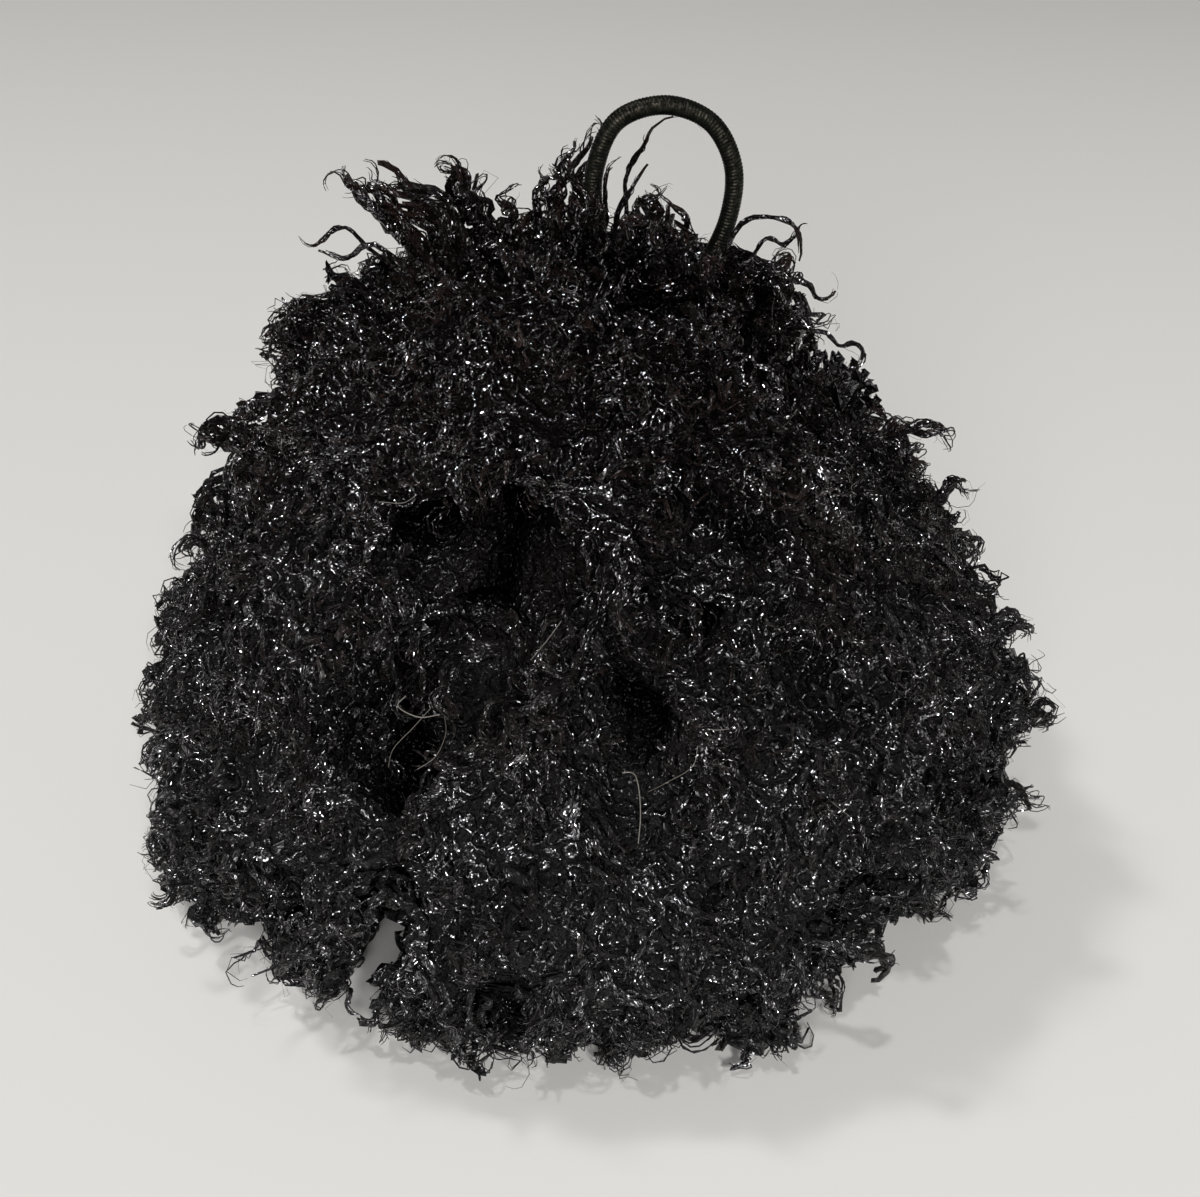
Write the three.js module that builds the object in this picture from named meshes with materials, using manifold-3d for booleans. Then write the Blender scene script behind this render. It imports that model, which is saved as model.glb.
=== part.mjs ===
// A faux fur pom pom: a stuffed ball of long curly pile, resting on its flattened underside, with a
// loop of covered round elastic standing from the gather at its crown.
// Millimetres, +Z up, the resting surface at Z = 0, and -Y the side that faces the viewer.
// The pile is one solid of its outer form: a dome that is broadest near its foot, covered in leaning
// locks, with the partings between the big clumps, the notches between the locks at its rim, and the
// pit at the gather, where the pile parts round the two ends of the elastic.
import * as THREE from "three";
import { mergeVertices } from "three/addons/utils/BufferGeometryUtils.js";
import Module from "manifold-3d";

const wasm = await Module();
wasm.setup();

// ---- driving dimensions ----
const PILE_RADIUS = 69.5; // the dome at its broadest, between the tips of the locks
const PILE_HEIGHT = 91; // its crown above the surface that it rests on
const MESH_DETAIL = 21; // subdivisions of the ball: 20 * (MESH_DETAIL + 1) ** 2 triangles

const ELASTIC = 2.5; // the covered elastic's diameter
const ELASTIC_SIDES = 12;
const ELASTIC_STEPS = 64;
const SEAT_GAP = 0.3; // between the elastic's ends and the gather that holds them
const GATHER = { x: 9.5, y: 1, z: 72 }; // the middle of the gather, at the bottom of its pit

// The dome's outline from its crown to the middle of its underside, as shares of the pile's height
// and radius. Its shoulder is full, its flank slopes, and its rim tucks in sharply under the foot.
const OUTLINE = [
  { height: 1.0, radius: 0.0 },
  { height: 0.995, radius: 0.2 },
  { height: 0.955, radius: 0.4 },
  { height: 0.86, radius: 0.575 },
  { height: 0.72, radius: 0.7 },
  { height: 0.56, radius: 0.825 },
  { height: 0.4, radius: 0.925 },
  { height: 0.255, radius: 0.985 },
  { height: 0.13, radius: 0.985 },
  { height: 0.05, radius: 0.9 },
  { height: 0.0, radius: 0.77 },
  { height: 0.0, radius: 0.5 },
  { height: 0.0, radius: 0.0 },
];

// The locks: a spiral of them from the crown to the rim, each a curved mound longer down the slope
// than across it, unevenly tall, and leaning to one side or the other by up to the lean in degrees.
const LOCKS = {
  count: 118,
  tall: 5.8,
  uneven: 0.5,
  wide: 7.6,
  long: 15,
  lean: 50,
  curl: 0.045,
  sunk: 2.6,
};

// The swells of the whole ball that keep it from being round: turns is how many times one repeats
// round the ball, and lead is the azimuth of its first crest.
const SWELLS = [
  { turns: 1, rise: 1.3, lead: 28 },
  { turns: 2, rise: 1.0, lead: 96 },
  { turns: 3, rise: 1.1, lead: 14 },
  { turns: 5, rise: 0.8, lead: 40 },
];

// The partings between the big clumps and the two broad dents in the flanks, each a groove from one
// place on the dome to another. Azimuths are in degrees from the front, positive to the viewer's
// right, and heights are above the surface.
const PARTINGS = [
  { from: { azimuth: -24, height: 67 }, to: { azimuth: -4, height: 69 }, wide: 4.5, deep: 6.5 },
  { from: { azimuth: -6, height: 68 }, to: { azimuth: -9, height: 59 }, wide: 3.5, deep: 5.5 },
  { from: { azimuth: -12, height: 60 }, to: { azimuth: -23, height: 47 }, wide: 4.5, deep: 6.5 },
  { from: { azimuth: -23, height: 47 }, to: { azimuth: -31, height: 34 }, wide: 4, deep: 4 },
  { from: { azimuth: 18, height: 69 }, to: { azimuth: 28, height: 66 }, wide: 3, deep: 3.5 },
  { from: { azimuth: 8, height: 60 }, to: { azimuth: 16, height: 58 }, wide: 3, deep: 4 },
  { from: { azimuth: 7, height: 56 }, to: { azimuth: 7, height: 46 }, wide: 3, deep: 3.5 },
  { from: { azimuth: 28, height: 58 }, to: { azimuth: 36, height: 44 }, wide: 4, deep: 4 },
  { from: { azimuth: -8, height: 86 }, to: { azimuth: 2, height: 80 }, wide: 3, deep: 3.5 },
  { from: { azimuth: 98, height: 66 }, to: { azimuth: 84, height: 44 }, wide: 4, deep: 4.5 },
  { from: { azimuth: 70, height: 78 }, to: { azimuth: 96, height: 56 }, wide: 18, deep: 4.5 },
  { from: { azimuth: -96, height: 48 }, to: { azimuth: -78, height: 30 }, wide: 14, deep: 3.5 },
  { from: { azimuth: 152, height: 70 }, to: { azimuth: 160, height: 46 }, wide: 4.5, deep: 5.5 },
  { from: { azimuth: -142, height: 62 }, to: { azimuth: -128, height: 40 }, wide: 4, deep: 4.5 },
  { from: { azimuth: -92, height: 68 }, to: { azimuth: -80, height: 52 }, wide: 4, deep: 4 },
];

// The rim's uneven foot: the notches between its locks, and, where drawn is below zero, the locks that
// splay further out than the rest.
const RIM = [
  { azimuth: -61, drawn: -6, wide: 6 },
  { azimuth: -43, drawn: 8, wide: 6 },
  { azimuth: -31, drawn: 6.5, wide: 5 },
  { azimuth: -20, drawn: 10, wide: 2.6 },
  { azimuth: -8, drawn: 3, wide: 2.6 },
  { azimuth: 12, drawn: 3.5, wide: 2.6 },
  { azimuth: 22, drawn: -4, wide: 4.5 },
  { azimuth: 33, drawn: 8, wide: 3.6 },
  { azimuth: 45, drawn: 9.5, wide: 6 },
  { azimuth: 78, drawn: 4, wide: 2.8 },
  { azimuth: 104, drawn: 6, wide: 3 },
  { azimuth: 120, drawn: -4, wide: 5 },
  { azimuth: 137, drawn: 5, wide: 2.8 },
  { azimuth: 166, drawn: 7, wide: 3 },
  { azimuth: -172, drawn: -3, wide: 5 },
  { azimuth: -156, drawn: 5, wide: 2.8 },
  { azimuth: -124, drawn: 6, wide: 3 },
  { azimuth: -98, drawn: 4, wide: 2.8 },
  { azimuth: -76, drawn: 5, wide: 2.8 },
];
const RIM_TOP = 26; // how far up the flank the rim's notches and splays fade out

// The elastic's centreline from one end to the other, in millimetres from the gather's middle.
const LOOP_ROUTE = [
  { across: -2.0, up: 0.0 },
  { across: -2.1, up: 3.5 },
  { across: -3.4, up: 9.0 },
  { across: -5.6, up: 15.0 },
  { across: -7.1, up: 21.0 },
  { across: -7.2, up: 27.6 },
  { across: -4.3, up: 34.0 },
  { across: 1.9, up: 36.0 },
  { across: 7.8, up: 33.8 },
  { across: 10.9, up: 28.2 },
  { across: 10.6, up: 21.6 },
  { across: 7.9, up: 15.0 },
  { across: 4.4, up: 9.0 },
  { across: 2.1, up: 3.5 },
  { across: 2.0, up: 0.0 },
];
// The pit at the gather, a flattened funnel.
const PIT = { top: 13.5, bottom: 5.8, flatness: 0.36, sides: 28, above: 6 };

// ---- colours and finishes ----
const FUR = new THREE.MeshStandardMaterial({ color: 0x0d0c0e, roughness: 0.45, metalness: 0 });
const ELASTIC_COVER = new THREE.MeshStandardMaterial({ color: 0x161817, roughness: 0.6, metalness: 0 });

const degrees = THREE.MathUtils.degToRad;
const smooth = THREE.MathUtils.smoothstep;

// A repeatable share from 0 to 1 for the nth of a family of things.
const shareOf = (n, family) => {
  const value = Math.sin(n * 12.9898 + family * 78.233) * 43758.5453;
  return value - Math.floor(value);
};

// The dome's outline as a curve of (radius, height).
const outline = new THREE.SplineCurve(
  OUTLINE.map((row) => new THREE.Vector2(row.radius * PILE_RADIUS, row.height * PILE_HEIGHT)),
);
const OUTLINE_STEPS = 200;
const outlinePoints = outline.getSpacedPoints(OUTLINE_STEPS);

// The point and outward normal of the plain dome, a share along its outline and round by an azimuth.
function onDome(share, azimuth) {
  const step = THREE.MathUtils.clamp(share, 0, 1) * OUTLINE_STEPS;
  const low = Math.min(Math.floor(step), OUTLINE_STEPS - 1);
  const place = outlinePoints[low].clone().lerp(outlinePoints[low + 1], step - low);
  const along = outlinePoints[low + 1].clone().sub(outlinePoints[low]).normalize();
  const [sine, cosine] = [Math.sin(azimuth), -Math.cos(azimuth)];
  const point = new THREE.Vector3(place.x * sine, place.x * cosine, place.y);
  const normal = new THREE.Vector3(-along.y * sine, -along.y * cosine, along.x);
  return { point, normal };
}

// The place on the flank at a height, which is above the foot.
function atHeight(height, azimuthDegrees) {
  const foot = outlinePoints.findIndex((place) => place.y <= height);
  return onDome(foot / OUTLINE_STEPS, degrees(azimuthDegrees)).point;
}

// ---- the pile ----
const GOLDEN_TURN = Math.PI * (3 - Math.sqrt(5));
const LAST_LOCK = 0.66; // the share of the outline where the rim turns under, past which none grows
const TRIMMED = 0.4; // how far the underside reaches below the surface before it is cut flat
const locks = Array.from({ length: LOCKS.count }, (_, n) => {
  const share = LAST_LOCK * Math.sqrt((n + 0.5) / LOCKS.count);
  const { point, normal } = onDome(share, n * GOLDEN_TURN);
  const tall = LOCKS.tall * (1 - LOCKS.uneven * shareOf(n, 1));
  const lean = degrees(LOCKS.lean) * (2 * shareOf(n, 2) - 1);
  const round = new THREE.Vector3(0, 0, 1).cross(normal).normalize().applyAxisAngle(normal, lean);
  const down = normal.clone().cross(round).normalize();
  return { point, tall, round, down, curl: LOCKS.curl * Math.sign(lean) };
});

// How far the nearest locks lift the pile at a place, with a furrow between them.
function lockLift(place) {
  let lift = 0;
  for (const lock of locks) {
    const away = place.clone().sub(lock.point);
    const down = away.dot(lock.down);
    const across = (away.dot(lock.round) + lock.curl * down * down) / LOCKS.wide;
    const along = down / LOCKS.long;
    lift = Math.max(lift, lock.tall * (1 - across * across - along * along));
  }
  return lift - LOCKS.sunk;
}

// How far the ball's swells lift the flank at an azimuth.
function swell(azimuth) {
  return SWELLS.reduce((sum, one) => {
    const turn = one.turns * (azimuth - degrees(one.lead));
    return sum + one.rise * Math.cos(turn);
  }, 0);
}

const partings = PARTINGS.map((row) => ({
  line: new THREE.Line3(
    atHeight(row.from.height, row.from.azimuth),
    atHeight(row.to.height, row.to.azimuth),
  ),
  wide: row.wide,
  deep: row.deep,
}));

// How deep the partings cut at a place.
function partingDepth(place) {
  const nearest = new THREE.Vector3();
  return partings.reduce((deepest, parting) => {
    const away = parting.line.closestPointToPoint(place, true, nearest).distanceTo(place) / parting.wide;
    return Math.max(deepest, parting.deep * Math.exp(-away * away));
  }, 0);
}

// How far the foot's notches and splayed locks draw a place in towards the axis.
function rimDraw(place, azimuth) {
  const low = 1 - smooth(place.z, 0, RIM_TOP);
  const reach = Math.hypot(place.x, place.y);
  return RIM.reduce((sum, lock) => {
    const turn = azimuth - degrees(lock.azimuth);
    const away = (Math.atan2(Math.sin(turn), Math.cos(turn)) * reach) / lock.wide;
    return sum + lock.drawn * low * Math.exp(-away * away);
  }, 0);
}

// A mesh geometry as a solid for joining and cutting, and back.
function toSolid(geometry) {
  const plain = new THREE.BufferGeometry().setAttribute("position", geometry.getAttribute("position"));
  plain.setIndex(geometry.index);
  const merged = mergeVertices(plain, 1e-4);
  return new wasm.Manifold(
    new wasm.Mesh({
      numProp: 3,
      vertProperties: merged.attributes.position.array,
      triVerts: new Uint32Array(merged.index.array),
    }),
  );
}

function toGeometry(solid) {
  const mesh = solid.getMesh();
  const positions = new Float32Array(mesh.numVert * 3);
  for (let i = 0; i < mesh.numVert; i += 1) {
    positions.set(mesh.vertProperties.subarray(i * mesh.numProp, i * mesh.numProp + 3), i * 3);
  }
  const geometry = new THREE.BufferGeometry();
  geometry.setAttribute("position", new THREE.BufferAttribute(positions, 3));
  geometry.setIndex(new THREE.BufferAttribute(mesh.triVerts, 1));
  geometry.computeVertexNormals();
  return geometry;
}

// The pile before its pit is cut and its underside is trimmed flat. The ball's pole is its +Y.
function pileForm() {
  const ball = new THREE.IcosahedronGeometry(1, MESH_DETAIL);
  ball.rotateX(Math.PI / 2);
  const position = ball.getAttribute("position");
  const direction = new THREE.Vector3();
  for (let i = 0; i < position.count; i += 1) {
    direction.fromBufferAttribute(position, i);
    const azimuth = Math.atan2(direction.x, -direction.y);
    const share = Math.acos(THREE.MathUtils.clamp(direction.z, -1, 1)) / Math.PI;
    const { point, normal } = onDome(share, azimuth);
    const offFoot = smooth(point.z, 0, PILE_HEIGHT * 0.1);
    const flank = smooth(share, 0.08, 0.3);
    const lift = lockLift(point) + swell(azimuth) * flank - partingDepth(point);
    point.addScaledVector(normal, lift * offFoot);
    const kept = 1 - rimDraw(point, azimuth) / Math.max(Math.hypot(point.x, point.y), PILE_RADIUS / 4);
    const height = share > LAST_LOCK ? -TRIMMED : point.z;
    position.setXYZ(i, point.x * kept, point.y * kept, height);
  }
  return ball;
}

function pit() {
  const height = PILE_HEIGHT + PIT.above - GATHER.z;
  const funnel = new THREE.CylinderGeometry(PIT.top, PIT.bottom, height, PIT.sides);
  funnel.rotateX(Math.PI / 2);
  funnel.scale(1, PIT.flatness, 1);
  return funnel.translate(GATHER.x, GATHER.y, GATHER.z + height / 2);
}

function underside() {
  const side = PILE_RADIUS * 3;
  return new THREE.BoxGeometry(side, side, side).translate(0, 0, -side / 2);
}

function furBall() {
  const pile = toSolid(pileForm()).subtract(toSolid(pit())).subtract(toSolid(underside()));
  const mesh = new THREE.Mesh(toGeometry(pile), FUR);
  mesh.name = "fur_ball";
  return mesh;
}

// ---- the elastic ----
function elasticLoop() {
  const route = new THREE.CatmullRomCurve3(
    LOOP_ROUTE.map((row) => new THREE.Vector3(row.across, 0, row.up)),
    false,
    "centripetal",
  );
  const section = new THREE.Shape(
    Array.from({ length: ELASTIC_SIDES }, (_, i) => {
      const turn = (2 * Math.PI * i) / ELASTIC_SIDES;
      return new THREE.Vector2(Math.cos(turn), Math.sin(turn)).multiplyScalar(ELASTIC / 2);
    }),
  );
  const cord = new THREE.ExtrudeGeometry(section, { steps: ELASTIC_STEPS, extrudePath: route });
  const mesh = new THREE.Mesh(cord, ELASTIC_COVER);
  mesh.name = "elastic_loop";
  mesh.position.set(GATHER.x, GATHER.y, GATHER.z + SEAT_GAP);
  return mesh;
}

// ---- the whole ----
const pompom = new THREE.Group();
pompom.add(furBall(), elasticLoop());

// The origin is under the middle of the pom pom's own box.
const middle = new THREE.Box3().setFromObject(pompom, true).getCenter(new THREE.Vector3());
pompom.position.set(-middle.x, -middle.y, 0);

export default pompom;
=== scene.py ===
"""A black curly faux fur pom pom with its loop of covered round elastic.

It is laid out as an add-on for Blender: a panel in the 3D view's sidebar lists one operator for each
piece or group of like pieces, and the property groups hold the sizes and colours that a maker would
change. The pile is a stuffed under-fur, which fills the solid of the ball, and thousands of curly
strands that grow from it in locks. Sizes are in metres.
"""

import math
from itertools import product

import bpy
import numpy as np
from bpy.props import FloatProperty, FloatVectorProperty, IntProperty, PointerProperty
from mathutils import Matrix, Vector, noise
from mathutils.bvhtree import BVHTree


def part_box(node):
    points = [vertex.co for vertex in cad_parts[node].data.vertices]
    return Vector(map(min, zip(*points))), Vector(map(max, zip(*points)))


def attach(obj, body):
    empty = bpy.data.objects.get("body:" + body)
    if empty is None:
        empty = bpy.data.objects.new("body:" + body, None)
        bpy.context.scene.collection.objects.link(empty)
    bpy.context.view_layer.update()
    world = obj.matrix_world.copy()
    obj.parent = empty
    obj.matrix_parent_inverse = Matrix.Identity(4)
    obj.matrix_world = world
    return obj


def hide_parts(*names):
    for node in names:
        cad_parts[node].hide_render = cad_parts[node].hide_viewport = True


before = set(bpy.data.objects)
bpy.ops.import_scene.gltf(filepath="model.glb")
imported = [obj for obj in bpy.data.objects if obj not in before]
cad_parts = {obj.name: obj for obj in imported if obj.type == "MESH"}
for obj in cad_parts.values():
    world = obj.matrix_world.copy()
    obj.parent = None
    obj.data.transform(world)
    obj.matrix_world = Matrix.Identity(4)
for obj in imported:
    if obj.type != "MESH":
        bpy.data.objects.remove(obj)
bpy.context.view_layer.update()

bl_info = {
    "name": "Curly Faux Fur Pom Pom",
    "version": (1, 0, 0),
    "blender": (4, 5, 0),
    "location": "View3D > Sidebar > Pom Pom",
    "description": "Builds a curly faux fur pom pom with its elastic loop and a plain studio",
    "category": "Add Mesh",
}

MM = 0.001
TURN = 2 * math.pi
BALL_HIGH = np.array(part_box("fur_ball")[1])
LOOP_LOW, LOOP_HIGH = (np.array(corner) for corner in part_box("elastic_loop"))
UP = np.array((0.0, 0.0, 1.0))


# -------------------- sizes and colours


def length(name, description, default):
    """A property that holds a length."""
    return FloatProperty(name=name, description=description, default=default, unit="LENGTH")


def colour(name, description, default):
    """A property that holds a colour."""
    return FloatVectorProperty(name=name, description=description, default=default, subtype="COLOR")


class PileSettings(bpy.types.PropertyGroup):
    """The curly pile."""

    under_depth: length("Under-fur depth", "How far the under-fur lies below the pile's tips", 4.6 * MM)
    voxel: length("Under-fur detail", "The size of the under-fur's faces", 1.35 * MM)
    frizz: length("Under-fur frizz", "How far the under-fur's small lumps rise and fall", 1.5 * MM)
    lock_spacing: length("Ringlet spacing", "The least distance between the roots of two ringlets", 3.06 * MM)
    tuft_spacing: length("Tuft spacing", "The least distance between two tufts of ringlets", 6.5 * MM)
    lock_length: length("Ringlet reach", "How far a ringlet leans along the ball", 12 * MM)
    lock_width: length("Ringlet width", "The greatest breadth of a ringlet's matted middle", 1.3 * MM)
    strands: FloatProperty(name="Strands", description="How many strands each ringlet has", default=2.7)
    hairs: FloatProperty(name="Stray hairs", description="How many fine hairs each one has", default=0.5)
    strand_width: length("Strand width", "The thickness of one loose strand of fibres", 0.32 * MM)
    curl_radius: length("Curl radius", "How far a loose strand curls away from its ringlet", 0.85 * MM)
    black: colour("Fibre black", "The colour of most of the fibres", (0.0027, 0.0019, 0.0019))
    # At the tips the warm tint is painted light, shining through thin fibre.
    brown: colour("Fibre brown", "The warm tint of patches, tips and the crown", (0.03, 0.017, 0.013))
    # Painted light: the fibre's colour is lifted towards the foot, standing in for light bounced up from the
    # floor.
    painted_bounce: colour("Fibre dust", "The grey that comes in towards the foot", (0.0098, 0.0104, 0.0104))
    seed: IntProperty(name="Seed", description="The seed of every random draw", default=7)


class ElasticSettings(bpy.types.PropertyGroup):
    """The covered elastic."""

    thread_pitch: length("Thread pitch", "The distance between two turns of the covering thread", 0.44 * MM)
    thread_rise: length("Thread rise", "How far each turn of the thread stands proud", 0.075 * MM)
    cover: colour("Cover colour", "The colour of the covering thread", (0.0026, 0.003, 0.0024))


class StageSettings(bpy.types.PropertyGroup):
    """The floor and the camera."""

    floor: colour("Floor colour", "The colour of the floor", (0.8, 0.78, 0.75))
    camera_place: FloatVectorProperty(
        name="Camera place",
        description="Where the camera stands",
        default=(0.0029, -0.1948, 0.153),
        subtype="TRANSLATION",
    )
    camera_pitch: FloatProperty(
        name="Camera pitch",
        description="How far the camera looks down from level",
        default=math.radians(31),
        subtype="ANGLE",
    )
    lens: FloatProperty(name="Lens", description="The camera's focal length in millimetres", default=45.0)


# -------------------- helpers


def activate(piece):
    """Makes one object the only selected one, and the active one."""
    bpy.ops.object.select_all(action="DESELECT")
    piece.select_set(True)
    bpy.context.view_layer.objects.active = piece


def new_object(name, mesh):
    """A new object in the scene."""
    piece = bpy.data.objects.new(name, mesh)
    bpy.context.scene.collection.objects.link(piece)
    return piece


def edit_all(piece, change, **settings):
    """Runs one edit-mode operator on the whole of a mesh."""
    activate(piece)
    bpy.ops.object.mode_set(mode="EDIT")
    bpy.ops.mesh.select_all(action="SELECT")
    change(**settings)
    bpy.ops.object.mode_set(mode="OBJECT")


def modify(piece, kind, **settings):
    """Applies one modifier to a mesh."""
    activate(piece)
    modifier = piece.modifiers.new(kind.lower(), kind)
    for key, value in settings.items():
        setattr(modifier, key, value)
    bpy.ops.object.modifier_apply(modifier=modifier.name)


def vectors_of(items, key):
    """The vectors of a mesh's vertices or normals, as an array."""
    values = np.empty(len(items) * 3, np.float32)
    items.foreach_get(key, values)
    return values.reshape(-1, 3).astype(float)


def give_values(mesh, name, values):
    """Gives each vertex a named value, which the materials read."""
    attribute = mesh.attributes.new(name, "FLOAT", "POINT")
    attribute.data.foreach_set("value", values.astype(np.float32))


def noise_at(places, fineness, shift=(0, 0, 0)):
    """Smooth noise between -1 and 1 at each place."""
    return np.array([noise.noise(Vector(place) * fineness + Vector(shift)) for place in places])


def unit(vectors):
    """The vectors at length one."""
    return vectors / np.maximum(np.linalg.norm(vectors, axis=-1, keepdims=True), 1e-12)


def rounded(low, high, value):
    """A smooth share from 0 at low to 1 at high."""
    share = np.clip((value - low) / (high - low), 0, 1)
    return share * share * (3 - 2 * share)


def between(mark, start, end, first, last):
    """The place at a mark on a straight line that is at the first of two points at the start."""
    return ((end - mark) * first + (mark - start) * last) / (end - start)


def smooth_route(points, steps=40):
    """A centripetal Catmull-Rom curve through the points."""
    points = np.array(points, float)
    padded = np.vstack([2 * points[0] - points[1], points, 2 * points[-1] - points[-2]])
    curve = []
    for p0, p1, p2, p3 in zip(padded, padded[1:], padded[2:], padded[3:]):
        knots = [0.0]
        for start, end in ((p0, p1), (p1, p2), (p2, p3)):
            knots.append(knots[-1] + math.sqrt(np.linalg.norm(end - start)))
        a, b, c, d = knots
        for mark in np.linspace(b, c, steps, endpoint=False):
            middle = between(mark, b, c, p1, p2)
            early = between(mark, a, c, between(mark, a, b, p0, p1), middle)
            late = between(mark, b, d, middle, between(mark, c, d, p2, p3))
            curve.append(between(mark, b, c, early, late))
    return np.array(curve + [points[-1]])


def resampled(curve, positions, marks):
    """A curve's points at new marks. Its own points stand at the positions."""
    return np.stack([np.interp(marks, positions, curve[:, i]) for i in range(3)], 1)


def even_steps(curve, spacing):
    """The curve again, at even steps along its length, and the length up to each."""
    lengths = np.concatenate([[0], np.cumsum(np.linalg.norm(np.diff(curve, axis=0), axis=1))])
    marks = np.linspace(0, lengths[-1], round(lengths[-1] / spacing) + 1)
    return resampled(curve, lengths, marks), marks


def in_steps(curve, steps, reached=1.0):
    """An even curve in so many steps, up to a share of its length."""
    marks = np.linspace(0, reached * (len(curve) - 1), steps + 1)
    return resampled(curve, np.arange(len(curve)), marks)


def line_through(points, spacing):
    """A smooth line through points in millimetres, in even steps."""
    line, _ = even_steps(smooth_route(np.array(points, float) * MM), spacing)
    return line


def finish_piece(piece, node, material):
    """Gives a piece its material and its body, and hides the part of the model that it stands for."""
    piece.data.materials.clear()
    piece.data.materials.append(material)
    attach(piece, "root")
    if node:
        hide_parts(node)


class Nodes:
    """A new node material, and short ways to add its nodes."""

    def __init__(self, name):
        self.material = bpy.data.materials.new(name)
        self.material.use_nodes = True
        self.tree = self.material.node_tree

    def feed(self, socket, value):
        """Links a socket to another node's output, or sets its value."""
        if isinstance(value, bpy.types.NodeSocket):
            self.tree.links.new(value, socket)
        else:
            socket.default_value = value

    def look(self, inputs):
        """Feeds the shader's inputs."""
        shader = self.tree.nodes["Principled BSDF"]
        for key, value in inputs.items():
            self.feed(shader.inputs[key], value)

    def add(self, kind, settings=None, **inputs):
        """The outputs of a new node. Its inputs go by their names, or by _ and their number."""
        node = self.tree.nodes.new("ShaderNode" + kind)
        for key, value in (settings or {}).items():
            setattr(node, key, value)
        for key, value in inputs.items():
            self.feed(node.inputs[int(key[1:])] if key[0] == "_" else node.inputs[key], value)
        return node.outputs

    def place(self):
        """Where each spot is, in metres."""
        return self.add("TexCoord")["Object"]

    def attribute(self, name):
        """The value that a piece gives each spot under this name."""
        return self.add("Attribute", {"attribute_name": name})["Fac"]

    def noise(self, place, scale, detail, output="Fac"):
        """A cloudy value for each spot, or a cloudy colour."""
        return self.add("TexNoise", Vector=place, Scale=scale, Detail=detail)[output]

    def ramp(self, value, start, end, low=0.0, high=1.0):
        """A value that goes from low, at the start, to high, at the end."""
        return self.add("MapRange", Value=value, _1=start, _2=end, _3=low, _4=high)["Result"]

    def mix(self, share, first, second):
        """A colour between two."""
        return self.add("Mix", {"data_type": "RGBA"}, _0=share, _6=(*first, 1), _7=(*second, 1))[2]

    def number(self, operation, first, second=0.5):
        """The outcome of an operation on one or two numbers."""
        return self.add("Math", {"operation": operation}, _0=first, _1=second)["Value"]

    def times(self, first, *others):
        """Some numbers, multiplied together."""
        for other in others:
            first = self.number("MULTIPLY", first, other)
        return first

    def vector(self, operation, first, **second):
        """The outcome of an operation on one or two vectors."""
        return self.add("VectorMath", {"operation": operation}, _0=first, **second)["Vector"]

    def relief(self, height, strength, distance):
        """The way each spot faces once its height goes up and down."""
        return self.add("Bump", Height=height, Strength=strength, Distance=distance)["Normal"]


# -------------------- materials


def curl_marks(nodes, place):
    """The small curls that show in matted fibre: how much each spot shines, and the way it faces."""
    wander = nodes.noise(place, scale=500.0, detail=1.0, output="Color")
    bent = nodes.vector("ADD", place, _1=nodes.vector("SCALE", wander, Scale=0.0018))
    cells = nodes.add("TexVoronoi", Vector=bent, Scale=330.0)["Distance"]
    wave = nodes.number("SINE", nodes.times(cells, 17.0))
    return nodes.ramp(wave, 0.0, 0.9), nodes.relief(wave, strength=0.8, distance=0.4 * MM)


def fibre_colour(nodes, place, height, pile, warm):
    """Near-black fibre: a warm tint in patches and high up, warmer tips painted as light through thin fibre,
    and painted bounce light low down.
    """
    patches = nodes.ramp(nodes.noise(place, scale=70.0, detail=3.0), 0.42, 0.75, high=warm)
    # Painted light: the tips are warmer, standing in for light that shines through the thin fibre.
    tips = nodes.ramp(nodes.attribute("tip"), 0.6, 1.0, high=0.35)
    upper = nodes.ramp(height, 20 * MM, 70 * MM, low=0.3)
    warmth = nodes.times(nodes.number("ADD", patches, tips), upper)
    # Painted light: the colour grows paler towards the foot, standing in for light bounced up from the floor.
    low_down = nodes.ramp(height, 15 * MM, 80 * MM, low=1.0, high=0.0)
    painted_bounce = nodes.vector("SCALE", pile.painted_bounce, Scale=low_down)
    return nodes.vector("ADD", nodes.mix(warmth, pile.black, pile.brown), _1=painted_bounce)


def flock_shine(nodes, place, parts):
    """How much each flock of the pile shines: streaks that run down the ball and clusters in them, partly a
    change of gloss and partly painted shade where the flocks shadow one another, and less towards the foot.
    """
    around = nodes.number("ARCTAN2", parts["X"], nodes.times(parts["Y"], -1.0))
    unrolled = nodes.add("CombineXYZ", X=around, Y=parts["Z"])["Vector"]
    stretched = nodes.vector("MULTIPLY", unrolled, _1=(11, 45, 1))
    streaks = nodes.ramp(nodes.noise(stretched, scale=1.0, detail=2.0), 0.36, 0.62, low=0.35)
    clusters = nodes.ramp(nodes.noise(place, scale=220.0, detail=2.0), 0.4, 0.6, low=0.35)
    calm = nodes.ramp(parts["Z"], 15 * MM, 65 * MM, low=0.8)
    return nodes.times(streaks, clusters, calm)


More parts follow.
